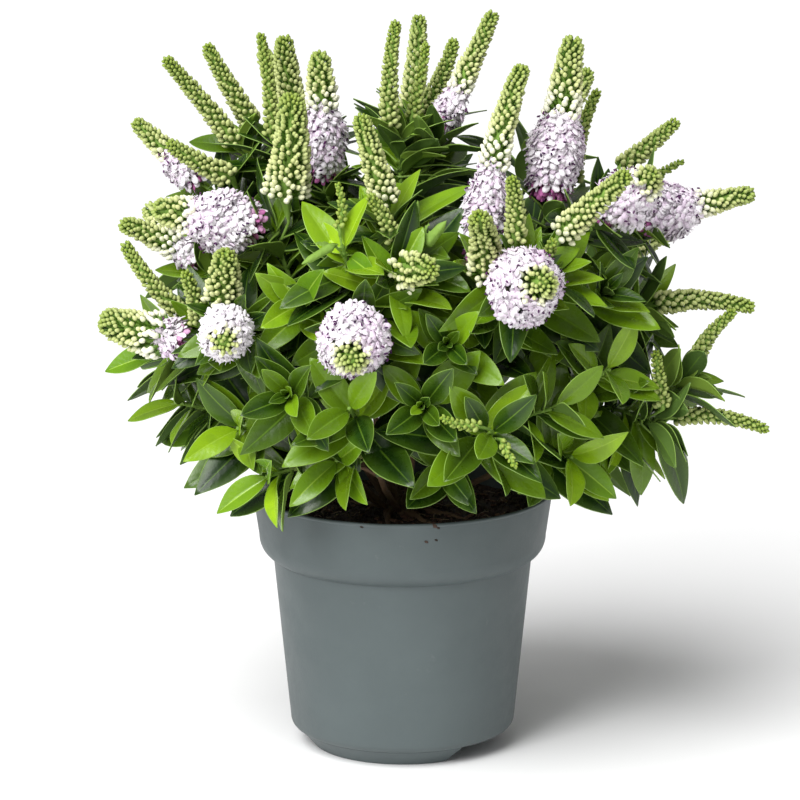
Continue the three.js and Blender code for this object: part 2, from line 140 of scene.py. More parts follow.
def spike_at(tip, points, near):
    """A spike's rings from its stalk up to its tip, as their middles and radii, and the rings' corners."""
    rings = rings_from(tip, near, MOST_RINGS)
    middles = [points[tip]]
    radii = [0.0]
    for ring in rings:
        if len(ring) != len(near[tip]):
            break
        middle = points[ring].mean(axis=0)
        middles.append(middle)
        radii.append(np.linalg.norm(points[ring] - middle, axis=1).mean())
    return np.array(middles[::-1]), np.array(radii[::-1]), rings


# ---------------------------------------------------------------- building meshes


class Heap:
    """Points, faces and what each point carries, gathered into one mesh."""

    def __init__(self):
        self.points, self.faces, self.marks, self.count = [], {3: [], 4: []}, {}, 0

    def add(self, points, faces, **marks):
        """`faces` maps 3 or 4 corners to an array, and each mark is three numbers a point."""
        self.points.append(points)
        for size, rows in faces.items():
            if len(rows):
                self.faces[size].append(np.asarray(rows) + self.count)
        for name, values in marks.items():
            self.marks.setdefault(name, []).append(np.broadcast_to(values, (len(points), 3)))
        self.count += len(points)

    def mesh(self, name):
        made = bpy.data.meshes.new(name)
        points = np.concatenate(self.points)
        loops = [np.concatenate(rows).reshape(-1) for rows in self.faces.values() if rows]
        sizes = [np.full(len(np.concatenate(rows)), size) for size, rows in self.faces.items() if rows]
        loops, sizes = np.concatenate(loops), np.concatenate(sizes)
        made.vertices.add(len(points))
        made.vertices.foreach_set("co", points.reshape(-1))
        made.loops.add(len(loops))
        made.loops.foreach_set("vertex_index", loops)
        made.polygons.add(len(sizes))
        made.polygons.foreach_set("loop_start", np.cumsum(sizes) - sizes)
        for mark, rows in self.marks.items():
            add_mark(made, mark, np.concatenate(rows))
        made.update(calc_edges=True)
        made.validate()
        made.shade_smooth()
        return made


def add_mark(mesh, name, values):
    layer = mesh.attributes.new(name, "FLOAT_VECTOR", "POINT")
    layer.data.foreach_set("vector", values.reshape(-1))


def add_object(name, data):
    made = bpy.data.objects.new(name, data)
    bpy.context.scene.collection.objects.link(made)
    return made


def show(name, mesh, look, *nodes):
    """Puts a mesh or a heap in the scene as a piece that stands for CAD nodes."""
    if isinstance(mesh, Heap):
        mesh = mesh.mesh(name)
    material, slot = looks[look]
    made = add_object(name, mesh)
    mesh.materials.append(material)
    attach(made, "root")
    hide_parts(*nodes)


def grid_faces(rows, columns, closed=False):
    """Four-cornered faces of a grid of points. A closed one joins its last column to its first."""
    i, j = np.meshgrid(np.arange(rows - 1), np.arange(columns if closed else columns - 1), indexing="ij")
    i, j = i.reshape(-1), j.reshape(-1)
    k = (j + 1) % columns
    return np.stack([i * columns + j, i * columns + k, (i + 1) * columns + k, (i + 1) * columns + j], axis=1)


def capped(rows, columns):
    """Faces of a closed tube of rings, with a fan at each end to two more points after the rings."""
    first, last = rows * columns, rows * columns + 1
    around = np.arange(columns)
    after = (around + 1) % columns
    top = (rows - 1) * columns
    fans = [np.stack([after, around, np.full(columns, first)], axis=1),
            np.stack([around + top, after + top, np.full(columns, last)], axis=1)]
    return {4: grid_faces(rows, columns, closed=True), 3: np.concatenate(fans)}


def flipped(faces):
    return {size: rows[:, ::-1] for size, rows in faces.items()}


def sheet_faces(rows, columns):
    """Faces of a thin closed sheet: a grid of points, the same grid again under it, and the edge between."""
    top = grid_faces(rows, columns)
    rim = np.array([*range(columns), *(r * columns + columns - 1 for r in range(1, rows)),
                    *((rows - 1) * columns + c for c in range(columns - 2, -1, -1)),
                    *(r * columns for r in range(rows - 2, 0, -1))])
    ahead = np.roll(rim, -1)
    shift = rows * columns
    edge = np.stack([ahead, rim, rim + shift, ahead + shift], axis=1)
    return {4: np.concatenate([top, top[:, ::-1] + shift, edge]), 3: []}


def turned(outline, sides):
    """A closed body of revolution about Z from [radius, height] points, the first and last on the axis."""
    middle = outline[1:-1]
    angles = np.arange(sides) * ROUND / sides
    rings = [[*(r * way(a)), z] for r, z in middle for a in angles]
    ends = [[0, 0, outline[0][1]], [0, 0, outline[-1][1]]]
    return np.array(rings + ends), capped(len(middle), sides)


def tube(path, radii, sides):
    """A closed tube along a path of points."""
    path = np.asarray(path)
    ahead = np.gradient(path, axis=0)
    ahead /= np.linalg.norm(ahead, axis=1)[:, None]
    side = np.cross(ahead[0], SKEW)
    angles = np.arange(sides) * ROUND / sides
    rings = []
    for place, forward, radius in zip(path, ahead, radii):
        side = unit(side - forward * (side @ forward))
        other = np.cross(forward, side)
        rings.append(place + radius * (np.outer(np.cos(angles), side) + np.outer(np.sin(angles), other)))
    return np.concatenate(rings + [path[:1], path[-1:]]), capped(len(path), sides)


def basis(forward, spin=0.0):
    """Three axes as rows, the last of them `forward`, turned about it by `spin`."""
    side = unit(np.cross(forward, SKEW))
    other = np.cross(forward, side)
    return np.array([math.cos(spin) * side + math.sin(spin) * other,
                     math.cos(spin) * other - math.sin(spin) * side, forward])


def smooth_step(low, high, x):
    t = np.clip((x - low) / (high - low), 0, 1)
    return t * t * (3 - 2 * t)


# ---------------------------------------------------------------- materials

# Colours are linear red, green and blue. A pair is the darkest and the lightest, or the first and last.
OLD_LEAF = (0.007, 0.025, 0.002), (0.140, 0.260, 0.006)
FRESH_LEAF = (0.090, 0.205, 0.005), (0.28, 0.45, 0.010)
LEAF_BELOW = (0.060, 0.115, 0.022), (0.26, 0.40, 0.05)
LEAF_RIB = (0.13, 0.25, 0.02), (0.42, 0.60, 0.08)
LEAF_PATCH = (0.02, 0.07, 0.008)
LEAF_SIDES = (0.17, 0.33, 0.01)
LEAF_MARGIN = (0.30, 0.47, 0.09)
BUD_TIP = (0.200, 0.285, 0.020), (0.70, 0.70, 0.36)
BUD_CREAM = (0.90, 0.88, 0.76)
BUD_FOOT = (0.045, 0.11, 0.004), (0.10, 0.19, 0.012)
BUD_FLUSH = (0.16, 0.30, 0.03)
PETAL = (0.78, 0.74, 0.78), (0.72, 0.59, 0.72)
THROAT = (0.70, 0.56, 0.67), (0.50, 0.16, 0.36)
FADED_PETAL = (0.40, 0.07, 0.27)
ANTHER = (0.030, 0.008, 0.045), (0.10, 0.02, 0.10)
SEPAL = (0.24, 0.34, 0.12), (0.40, 0.26, 0.34)
BARK = (0.055, 0.030, 0.016), (0.20, 0.125, 0.07)
GREEN_STEM = (0.13, 0.25, 0.03), (0.24, 0.38, 0.07)
POT_GREY = (0.069, 0.088, 0.090), (0.082, 0.104, 0.106)
POT_DUST = (0.26, 0.28, 0.27)
SOIL_GRIT = (0.16, 0.09, 0.055)
PEAT = (0.018, 0.013, 0.010), (0.105, 0.068, 0.052)
CHIP = (0.085, 0.042, 0.028), (0.28, 0.16, 0.11)
FIBRE = (0.22, 0.15, 0.10), (0.55, 0.44, 0.32)
FLOOR_WHITE = (0.86, 0.86, 0.86), (0.90, 0.90, 0.90)


class Shader:
    """A Principled material and short ways to add nodes to it."""

    def __init__(self, name, **values):
        self.material = bpy.data.materials.new(name)
        self.material.use_nodes = True
        self.tree = self.material.node_tree
        self.main = self.tree.nodes["Principled BSDF"]
        for socket, value in values.items():
            self.main.inputs[socket.replace("_", " ")].default_value = value

    def link(self, source, node, socket):
        if isinstance(source, (int, float)):
            node.inputs[socket].default_value = source
        elif isinstance(source, tuple):
            node.inputs[socket].default_value = (*source, 1)
        else:
            self.tree.links.new(source, node.inputs[socket])

    def node(self, kind, inputs, **settings):
        made = self.tree.nodes.new("ShaderNode" + kind)
        for name, value in settings.items():
            setattr(made, name, value)
        for socket, source in inputs.items():
            self.link(source, made, socket)
        return made.outputs

    def mark(self, name):
        """The three numbers that each point carries under that name."""
        return self.node("SeparateXYZ", {0: self.node("Attribute", {}, attribute_name=name)["Vector"]})

    def noise(self, scale, detail=3.0, roughness=0.5):
        where = self.node("TexCoord", {})["Object"]
        sizes = {"Scale": scale, "Detail": detail, "Roughness": roughness}
        return self.node("TexNoise", {"Vector": where, **sizes})["Fac"]

    def math(self, kind, a, b=0.0):
        return self.node("Math", {0: a, 1: b}, operation=kind)[0]

    def ease(self, value, low, high, start=0.0, end=1.0):
        """From `start` to `end`, smoothly, as a value goes from `low` to `high`."""
        inputs = dict(enumerate((value, low, high, start, end)))
        return self.node("MapRange", inputs, interpolation_type="SMOOTHSTEP")[0]

    def mix(self, share, a, b):
        return self.node("Mix", {0: share, 6: a, 7: b}, data_type="RGBA")[2]

    def bump(self, height, distance, strength):
        sockets = {"Height": height, "Distance": distance, "Strength": strength}
        self.link(self.node("Bump", sockets)["Normal"], self.main, "Normal")

    def paint(self, color, roughness):
        self.link(color, self.main, "Base Color")
        self.link(roughness, self.main, "Roughness")
        return self.material


def leaf_material():
    """Marks: blade is (across from -1 to 1, along, 1 on the underside), tone is (youth, chance, chance)."""
    s = Shader("hebe_leaf", Specular_IOR_Level=0.33)
    across, along, under = s.mark("blade")
    youth, luck, _ = s.mark("tone")
    off = s.math("ABSOLUTE", across)
    old = s.mix(s.ease(luck, 0.4, 1.05), *OLD_LEAF)
    fresh = s.mix(luck, *FRESH_LEAF)
    green = s.mix(s.ease(youth, 0.05, 0.95), old, fresh)
    cloud = s.noise(160, 3)
    green = s.mix(s.ease(cloud, 0.35, 0.7, 0.0, 0.35), green, s.mix(0.5, green, LEAF_PATCH))
    green = s.mix(s.ease(off, 0.2, 0.9, 0.0, 0.25), green, s.mix(0.55, green, LEAF_SIDES))
    below = s.mix(s.ease(youth, 0, 1), *LEAF_BELOW)
    color = s.mix(under, green, below)
    rib = s.ease(off, 0.015, 0.07, 0.5, 0.0)
    color = s.mix(rib, color, s.mix(s.ease(youth, 0, 1), *LEAF_RIB))
    margin = s.ease(off, 0.94, 0.99, 0.0, 0.6)
    color = s.mix(margin, color, LEAF_MARGIN)
    sheen = s.math("ADD", s.ease(cloud, 0.3, 0.8, 0.24, 0.36), s.math("MULTIPLY", under, 0.25))
    slant = s.math("SUBTRACT", along, s.math("MULTIPLY", off, 0.16))
    veins = s.math("SINE", s.math("MULTIPLY", slant, 62))
    relief = s.math("ADD", s.math("MULTIPLY", veins, 0.18), s.noise(700, 2))
    s.bump(relief, 0.12 * MM, 0.5)
    return s.paint(color, sheen)


def bud_material():
    """Mark: bud is (ripeness from green to cream, height on the bud, chance)."""
    s = Shader("hebe_bud", Specular_IOR_Level=0.4)
    ripe, height, luck = s.mark("bud")
    tip = s.mix(ripe, *BUD_TIP)
    tip = s.mix(s.ease(ripe, 0.7, 1.0, 0, 0.8), tip, BUD_CREAM)
    foot = s.mix(ripe, *BUD_FOOT)
    color = s.mix(s.ease(height, 0.12, 0.55), foot, tip)
    color = s.mix(s.ease(luck, 0.2, 1, 0, 0.35), color, s.mix(0.5, color, BUD_FLUSH))
    cloud = s.noise(900, 2)
    s.bump(cloud, 0.15 * MM, 0.4)
    return s.paint(color, s.ease(cloud, 0.3, 0.7, 0.42, 0.6))


PETAL_PART, ANTHER_PART, GREEN_PART = 0, 1, 2


def flower_material():
    """Mark: flower is (part, along, chance), and a flower that is over has a chance above 1."""
    s = Shader("hebe_flower", Specular_IOR_Level=0.3)
    part, along, luck = s.mark("flower")
    petal = s.mix(s.ease(luck, 0.35, 1), *PETAL)
    throat = s.mix(s.ease(luck, 0.5, 0.8), *THROAT)
    petal = s.mix(s.ease(along, 0.0, 0.36, 0.85, 0.0), petal, throat)
    petal = s.mix(s.ease(luck, 1.05, 1.6, 0.0, 0.9), petal, FADED_PETAL)
    color = s.mix(s.math("GREATER_THAN", part, ANTHER_PART - 0.5), petal, s.mix(luck, *ANTHER))
    color = s.mix(s.math("GREATER_THAN", part, GREEN_PART - 0.5), color, s.mix(luck, *SEPAL))
    cloud = s.noise(1200, 2)
    s.bump(cloud, 0.1 * MM, 0.4)
    return s.paint(color, s.ease(cloud, 0.3, 0.7, 0.5, 0.7))


def stem_material():
    """Mark: wood is (age from green to bark, and two that are not used)."""
    s = Shader("hebe_stem", Specular_IOR_Level=0.3)
    age, _, _ = s.mark("wood")
    grain = s.noise(420, 5, 0.65)
    woody = s.ease(s.math("ADD", age, s.math("MULTIPLY", grain, 0.2)), 0.35, 0.75)
    color = s.mix(woody, s.mix(grain, *GREEN_STEM), s.mix(grain, *BARK))
    s.bump(grain, 0.6 * MM, 0.7)
    return s.paint(color, s.ease(grain, 0.3, 0.7, 0.5, 0.85))


def pot_material():
    s = Shader("pot_plastic", Specular_IOR_Level=0.45)
    cloud = s.noise(14, 4, 0.6)
    grain = s.noise(900, 2)
    dust = s.noise(60, 6, 0.7)
    color = s.mix(s.ease(cloud, 0.3, 0.7), *POT_GREY)
    color = s.mix(s.ease(dust, 0.62, 0.8, 0, 0.35), color, POT_DUST)
    s.bump(s.math("ADD", grain, s.math("MULTIPLY", dust, 0.6)), 0.12 * MM, 0.5)
    return s.paint(color, s.ease(dust, 0.3, 0.8, 0.46, 0.62))


def soil_material(name, dark, light, scale):
    s = Shader(name, Specular_IOR_Level=0.25)
    grain = s.noise(scale, 6, 0.7)
    fine = s.noise(scale * 5, 4, 0.7)
    color = s.mix(s.ease(grain, 0.35, 0.7), dark, light)
    color = s.mix(s.ease(fine, 0.6, 0.78, 0, 0.6), color, s.mix(0.5, color, SOIL_GRIT))
    s.bump(fine, 1.2 * MM, 0.9)
    return s.paint(color, s.ease(grain, 0.3, 0.7, 0.7, 0.98))


# For each look, its material and the name of a slot for it.
looks = {
    "leaf": (leaf_material(), "leaves"),
    "bud": (bud_material(), "buds"),
    "flower": (flower_material(), "flowers"),
    "stem": (stem_material(), "wood"),
    "pot": (pot_material(), "pot"),
    "peat": (soil_material("peat", *PEAT, 260), "soil"),
    "chip": (soil_material("bark_chip", *CHIP, 500), "soil"),
    "fibre": (soil_material("root_fibre", *FIBRE, 700), "soil"),
}

# ---------------------------------------------------------------- leaves

RIM_RADIUS, _, RIM_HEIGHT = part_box("nursery_pot")[1]
SOIL_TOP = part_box("potting_soil")[1].z

LEAF_ROWS = 13
LEAF_COLUMNS = np.array([-1, -0.94, -0.62, -0.16, 0, 0.16, 0.62, 0.94, 1])
LEAF_FACES = sheet_faces(LEAF_ROWS, len(LEAF_COLUMNS))
PETIOLE = 2.6 * MM
PETIOLE_HALF = 0.75 * MM
TIP_HALF = 0.25 * MM
THICKNESS = 0.24 * MM
RIB_THICKNESS = 0.26 * MM  # that the midrib adds
GROOVE = 0.22 * MM  # depth of the midrib on the upper side
FULLER = 1.1  # a real blade is fuller than its three-sided stand-in
LONGER = 1.12  # and its fine tip reaches a little further
CLEAR = 16 * MM  # height over the rim that the tips of the lowest leaves are raised to
CLEAR_LEFT = 10 * MM  # and at the left, where some hang over the rim
LEFT_FRINGE = -45 * MM
MOST_RAISED = 0.6  # radians
RAISED_REACH = 34 * MM  # from the rim, beyond which leaves hang as they like


def raised(leaf):
    """The same leaf, turned up about its base where its tip would hang below the top of the pot."""
    end = leaf["base"] + leaf["length"] * LONGER * (leaf["out"] - LEAF_SAG * leaf["up"])
    clear = RIM_HEIGHT + (CLEAR_LEFT if end[0] < LEFT_FRINGE else CLEAR)
    turn = np.clip((clear - end[2]) / leaf["length"], 0, MOST_RAISED)
    if turn == 0 or leaf["up"][2] < 0 or math.hypot(end[0], end[1]) > RIM_RADIUS + RAISED_REACH:
        return leaf
    out = leaf["out"] * math.cos(turn) + leaf["up"] * math.sin(turn)
    up = leaf["up"] * math.cos(turn) - leaf["out"] * math.sin(turn)
    return {**leaf, "out": out, "up": up}


def add_leaf(heap, leaf, youth, luck):
    """A blade along the stand-in's midrib: elliptic, folded a little at the midrib, with a short stalk.
    `luck` is eight random numbers that vary its shape and its colour."""
    leaf = raised(leaf)
    length, width = leaf["length"] * LONGER, leaf["width"] * FULLER
    start = PETIOLE / length
    steps = np.arange(1, LEAF_ROWS - 1) / (LEAF_ROWS - 2)
    share = np.concatenate([[0.0, start], start + (1 - start) * steps])
    blade = np.clip((share - start) / (1 - start), 0, 1)
    outline = blade ** 0.78 * (1 - blade) ** (0.78 + 0.22 * luck[0])
    outline /= outline.max()
    half = width / 2 * outline + PETIOLE_HALF * (1 - blade) ** 4
    half[-1] = TIP_HALF
    across = LEAF_COLUMNS[None, :]
    t = share[:, None]
    fold = (0.10 + 0.30 * luck[2] + 0.35 * youth) * (1 - 0.5 * t)
    wave = 0.05 * np.sin(t * (7 + 5 * luck[3]) + luck[4] * 6 + 2 * np.sign(across)) * across ** 2
    cup = -0.12 * across ** 2 * (1 - youth)
    x = half[:, None] * across
    z = half[:, None] * (fold * np.abs(across) + cup + wave)
    twist = (luck[1] - 0.5) * 0.7 * t
    x, z = x * np.cos(twist) - z * np.sin(twist), x * np.sin(twist) + z * np.cos(twist)
    sag = midrib(t) + (luck[5] - 0.6) * 0.16 * t ** 2.5
    swing = (luck[3] - 0.5) * 0.10 * t ** 2
    thick = (THICKNESS + RIB_THICKNESS * np.exp(-(across / 0.22) ** 2)) * (1 - 0.4 * t)
    thick = thick + (1 - blade[:, None]) ** 4 * 0.3 * MM
    groove = -GROOVE * np.exp(-(across / 0.1) ** 2) * (1 - t) * np.ones_like(x)
    sheets = []
    for lift in (groove, -2 * thick):
        local = np.stack([x + swing * length, t * length + 0 * x, z + lift + sag * length], axis=-1)
        sheets.append(local.reshape(-1, 3))
    axes = np.array([leaf["side"], leaf["out"], leaf["up"]])
    flat = np.broadcast_to(across, x.shape).reshape(-1)
    along = np.broadcast_to(t, x.shape).reshape(-1)
    marks = np.concatenate([np.stack([flat, along, np.full_like(flat, side)], axis=1) for side in (0, 1)])
    place = leaf["base"] + np.concatenate(sheets) @ axes
    heap.add(place, LEAF_FACES, blade=marks, tone=(youth, luck[6], luck[7]))


# ---------------------------------------------------------------- buds and flowers

# Outlines of [radius, height], for a bud of radius 1, its neck of height 1, and a flower in millimetres.
BALL = turned([(0, -1), (0.62, -0.78), (0.96, -0.15), (0.84, 0.45), (0.42, 0.95), (0, 1.1)], 8)
NECK = turned([(0, 0), (0.12, 0.02), (0.2, 0.55), (0.55, 1), (0, 1.02)], 5)
FLOWER_TUBE = turned([(0, 0), (0.45, 0.1), (0.6, 1.2), (1.0, 2.2), (0.5, 2.0), (0, 1.7)], 7)
ANTHER_BODY = turned([(0, -0.85), (0.36, -0.45), (0.38, 0.4), (0, 0.85)], 5)
TUBE_MOUTH = 1.8
PETAL_LENGTH = 3.5
PETAL_THICKNESS = 0.14


def add_bud(heap, root, place, size, ripe, luck):
    """An egg-shaped bud on its short neck, from its root on the spike's axis."""
    axes = basis(unit(place - root), luck * 6)
    ball, faces = BALL
    height = ball[:, 2] * 0.5 + 0.5
    marks = np.stack([np.full_like(height, ripe), height, np.full_like(height, luck)], axis=1)
    heap.add(place + (ball * [size, size, size * (1.14 + 0.32 * luck)]) @ axes, faces, bud=marks)
    neck, faces = NECK
    reach = np.linalg.norm(place - root) - size * 0.4
    heap.add(root + (neck * [size * 1.5, size * 1.5, reach]) @ axes, faces, bud=(ripe * 0.4, 0.05, luck))


def petal_form():
    """A petal along +Y, cupped, as a thin closed sheet, with how far along it each point is."""
    shares = np.array([0.0, 0.38, 0.75, 1.0])
    halves = np.array([0.42, 1.16, 1.12, 0.30])
    across = np.array([-1.0, 0.0, 1.0])
    x = halves[:, None] * across
    y = np.broadcast_to(shares[:, None] * PETAL_LENGTH, x.shape)
    z = 0.35 * across ** 2 * shares[:, None] + 0.5 * shares[:, None] ** 2 + 0 * x
    top = np.stack([x, y, z], axis=-1).reshape(-1, 3)
    share = np.broadcast_to(shares[:, None], x.shape).reshape(-1)
    points = np.concatenate([top, top - [0, 0, PETAL_THICKNESS]])
    return points, sheet_faces(len(shares), len(across)), np.tile(share, 2)


def flower_form(with_anthers):
    """One flower along +Z: a short tube, four petals, two stamens and a style, and sepals."""
    heap = Heap()
    cup, cup_faces = FLOWER_TUBE
    heap.add(cup, cup_faces, flower=np.stack([0 * cup[:, 2], cup[:, 2] / 6, 0 * cup[:, 2]], axis=1))
    petal, petal_faces, share = petal_form()
    for index in range(4):
        turn = index * math.pi / 2 + 0.2 * math.sin(index * 2.1)
        rise = 0.42 + 0.12 * math.cos(index * 1.7)
        out = np.array([*(way(turn) * math.cos(rise)), math.sin(rise)])
        side = np.array([-math.sin(turn), math.cos(turn), 0])
        axes = np.array([side, out, np.cross(side, out)])
        root = way(turn, 0) * 0.7 + [0, 0, 2.05]
        marks = np.stack([0 * share, 0.3 + share * 0.7, 0 * share], axis=1)
        heap.add(root + petal @ axes, petal_faces, flower=marks)
    for turn, reach in ((0.5, 4.7), (3.5, 4.2)):
        lean = way(turn, 0)
        path = [[0, 0, TUBE_MOUTH], lean * 0.8 + [0, 0, 3.2], lean * 1.8 + [0, 0, reach]]
        heap.add(*tube(path, [0.13, 0.1, 0.08], 4), flower=(PETAL_PART, 0.9, 0))
        if with_anthers:
            anther, faces = ANTHER_BODY
            tilt = basis(unit(np.array([lean[1], -lean[0], 0.5])))
            heap.add(np.array(path[-1]) + anther @ tilt, faces, flower=(ANTHER_PART, 0, 0))
    style = [[0, 0, TUBE_MOUTH], [0.2, -0.2, 3.2], [0.1, -0.5, 4.3]]
    heap.add(*tube(style, [0.1, 0.08, 0.08], 4), flower=(PETAL_PART, 0.2, 0))
    for index in range(4):
        lean = way((index + 0.5) * math.pi / 2, 0)
        sepal = [[0, 0, 0], lean * 0.62 + [0, 0, 0.7], lean * 0.95 + [0, 0, 1.7]]
        heap.add(*tube(sepal, [0.3, 0.42, 0.06], 4), flower=(GREEN_PART, 0, 0))
    points = np.concatenate(heap.points)
    faces = {size: np.concatenate(rows) for size, rows in heap.faces.items()}
    return points * MM, faces, np.concatenate(heap.marks["flower"])


FLOWERS = [flower_form(with_anthers) for with_anthers in (False, True)]
SHEDDING = 0.22  # share of the flowers that still hold their anthers


def add_flower(heap, root, place, forward, size, luck, with_anthers):
    points, faces, marks = FLOWERS[with_anthers]
    axes = basis(forward, luck * 6)
    heap.add(place + (points * size) @ axes, faces, flower=marks + [0, 0, luck])
    path = [root, (root + place) / 2, place + forward * 0.3 * MM]
    heap.add(*tube(path, [0.35 * MM, 0.35 * MM, 0.5 * MM], 4), flower=(GREEN_PART, 0, luck))


BUD_GAP = 3.5 * MM  # between the lowest buds
TIP_GAP = 2.0 * MM  # between those at the tip
FLOWER_GAP = 2.9 * MM
FULLER_SPIKE = 1.38  # a spike's lowest buds stand a little proud of its stand-in
TAPER = 0.66  # and by this much of the stand-in's radius less at its tip
FLOWER_REACH = 5.4 * MM  # from a flower's foot to its petals' tips
SPIKE_STALK = 0.75 * MM  # radius
SPIKE_BOW = 0.17  # a spike's middle is off the straight line by up to half this share of its length
CORE = 0.42  # share of a spike's radius that its axis fills between the buds
CORE_STEPS = 15
STALK_RINGS = 4
LAST_BUD = 0.985  # share of a spike's length at which its buds end
DOME_END = 0.99  # share at which they close over its tip
LEAST_DOME = 0.05
FADED_HEAD = 0.16  # share of a flower head, from its foot, in which flowers are over
FADED_CHANCE = 0.35  # below which a flower there is not over yet


class Spike:
    """The slightly bowed axis that a spike's flowers and buds stand round, and its sizes."""

    def __init__(self, middles, radii):
        """From the rings of a stand-in: those of its stalk, of its flowers if it has any, and of its buds."""
        first = STALK_RINGS if len(middles) > STALK_RINGS + 2 else len(middles) - 3
        line, reaches = middles[first - 1:], radii[first - 1:]
        self.stalk = middles[:first]
        self.foot = line[0]
        self.along = unit(line[-1] - self.foot)
        self.length = np.linalg.norm(line[-1] - self.foot)
        aside = basis(self.along, chance.random() * 6)[0]
        self.bow = aside * self.length * SPIKE_BOW * (chance.random() - 0.5)
        self.bud_reach = reaches[-3]
        self.in_flower = len(line) > 4
        self.opened = self.bloom_reach = 0.0
        if self.in_flower:
            shares = np.linalg.norm(line - self.foot, axis=1) / self.length
            self.opened = shares[2] + (shares[2] - shares[1]) / 3
            self.bloom_reach = reaches[1:3].max()

    def axis(self, share):
        return self.foot + self.along * (self.length * share) + self.bow * math.sin(math.pi * share)

    def bud_part(self, share):
        """How far up the part with buds a share of the length is, from 0 to 1."""
        return (share - self.opened) / (1 - self.opened)

    def core(self):
        """The stalk, and the green core between the buds, as one tube."""
        shares = np.linspace(0, 0.97, CORE_STEPS)
        path = np.concatenate([self.stalk[:-1], [self.axis(t) for t in shares]])
        girth = self.bud_reach * CORE * (FULLER_SPIKE - TAPER * np.clip(self.bud_part(shares), 0, 1))
        girth = girth * smooth_step(self.opened - 0.1, self.opened + 0.08, shares)
        girth = np.maximum(girth * np.sqrt(1 - smooth_step(0.86, 1.0, shares)), SPIKE_STALK)
        return tube(path, np.concatenate([np.full(len(self.stalk) - 1, SPIKE_STALK), girth]), 9)


def add_head(heap, spike, turn, opening):
    """Flowers on a spiral, as far up as they are open. Gives back where on the spiral it stopped."""
    at = 0.012 if spike.in_flower else 0.03
    while at < spike.opened:
        luck = chance.random()
        turn += GOLDEN + (chance.random() - 0.5) * 0.5
        up = at / spike.opened
        swell = math.sin(math.pi * min(max(up, 0.08), 0.9)) ** 0.3
        uneven = 1.1 + 0.09 * math.sin(2 * turn + 9 * at / spike.opened)
        ring = max(spike.bloom_reach * uneven * swell - FLOWER_REACH, 0.9 * MM)
        lift = 0.15 + 0.5 * at / spike.opened + (chance.random() - 0.5) * 0.6
        axes = basis(spike.along, turn)
        forward = unit(axes[0] + spike.along * lift + axes[1] * (chance.random() - 0.5) * 0.6)
        root = spike.axis(max(at - 0.25 * ring / spike.length, 0))
        place = spike.axis(at) + axes[0] * ring
        faded = at < FADED_HEAD * spike.opened and luck > FADED_CHANCE
        size = 0.96 + 0.36 * chance.random()
        if opening:
            add_flower(heap, root, place, forward, size, luck * 0.4, False)
        else:
            add_flower(heap, root, place, forward, size, luck + faded, chance.random() < SHEDDING)
        at += FLOWER_GAP ** 2 / (ROUND * (ring + 3.4 * MM)) / spike.length
    return turn, at


def add_buds(heap, spike, turn, at):
    """Buds on a spiral from there up to the tip, ever smaller, and greener."""
    length = spike.length
    while at < LAST_BUD:
        luck = chance.random()
        turn += GOLDEN + (chance.random() - 0.5) * 0.35
        up = spike.bud_part(at)
        body = spike.bud_reach * (FULLER_SPIKE - TAPER * up)
        cap = max(body / length, LEAST_DOME)
        dome = min(max((at - (DOME_END - cap)) / cap, 0), 1)
        spacing = BUD_GAP + (TIP_GAP - BUD_GAP) * up ** 0.8
        spacing *= 0.8 + 0.2 * min(spike.bud_reach / (5 * MM), 1.3)
        size = spacing * (0.38 + 0.09 * luck)
        ring = max(body - size, size * 0.9) * (0.92 + 0.12 * chance.random()) * math.sqrt(1 - dome ** 2)
        axes = basis(spike.along, turn)
        lean = 0.25 + 0.5 * up ** 2
        place = spike.axis(at) + axes[0] * ring + spike.along * ring * lean * 0.35
        root = spike.axis(max(at - (0.75 * ring + 0.6 * dome * body) / length, 0.0))
        ripe = np.clip((spike.bud_reach / MM - 1.6) / 4.5, 0.15, 0.9) * (1 - up) ** 0.65
        if spike.in_flower:
            ripe += 0.4 * (1 - up) ** 3
        add_bud(heap, root, place, size, float(np.clip(ripe + (luck - 0.5) * 0.12, 0, 1)), luck)
        at += spacing ** 2 / (ROUND * max(body - size, 1.1 * MM)) / length


def add_spike(buds, flowers, stems, middles, radii, opening=False):
    """A spike on its stalk. One that is `opening` has no flowers that are over."""
    spike = Spike(middles, radii)
    stems.add(*spike.core(), wood=(0.0, 0.5, 0))
    turn, at = add_head(flowers, spike, chance.random() * 6, opening)
    add_buds(buds, spike, turn, at)


# ---------------------------------------------------------------- stems

HEART = np.array([0, 0, SOIL_TOP])  # where the stems leave the soil
VOXEL = 0.55 * MM
OLD_WOOD = 45 * MM  # from the heart, within which stems are all bark
GREENING = 75 * MM  # beyond that, over which they turn green


